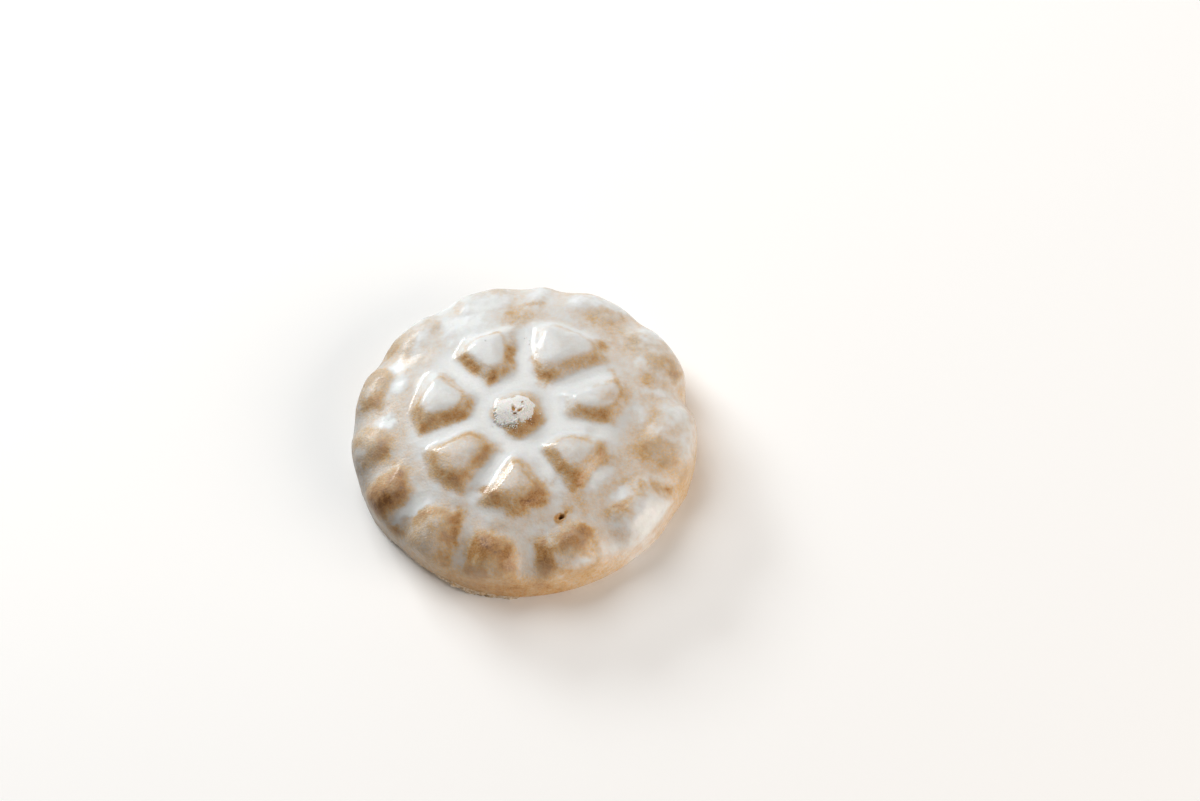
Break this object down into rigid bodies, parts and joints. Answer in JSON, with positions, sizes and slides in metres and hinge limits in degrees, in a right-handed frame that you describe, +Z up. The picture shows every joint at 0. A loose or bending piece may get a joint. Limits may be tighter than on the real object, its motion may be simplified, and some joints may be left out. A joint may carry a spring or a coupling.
{
  "type": "glazed gingerbread cookie",
  "caption": "Round moulded gingerbread cookie with raised bosses under a thin white sugar glaze, flat underneath.",
  "frame": {"origin": "centre of the flat base, under the middle of the cookie's own box", "axes": "+Z up out of the moulded top, square to the flat base; -Y is the side that faced the viewer"},
  "size_m": [0.0696, 0.0698, 0.0176],
  "materials": {
    "glazed_gingerbread": "satin"
  },
  "bodies": {
    "root": {"cookie": "glazed_gingerbread"}
  },
  "joints": []
}
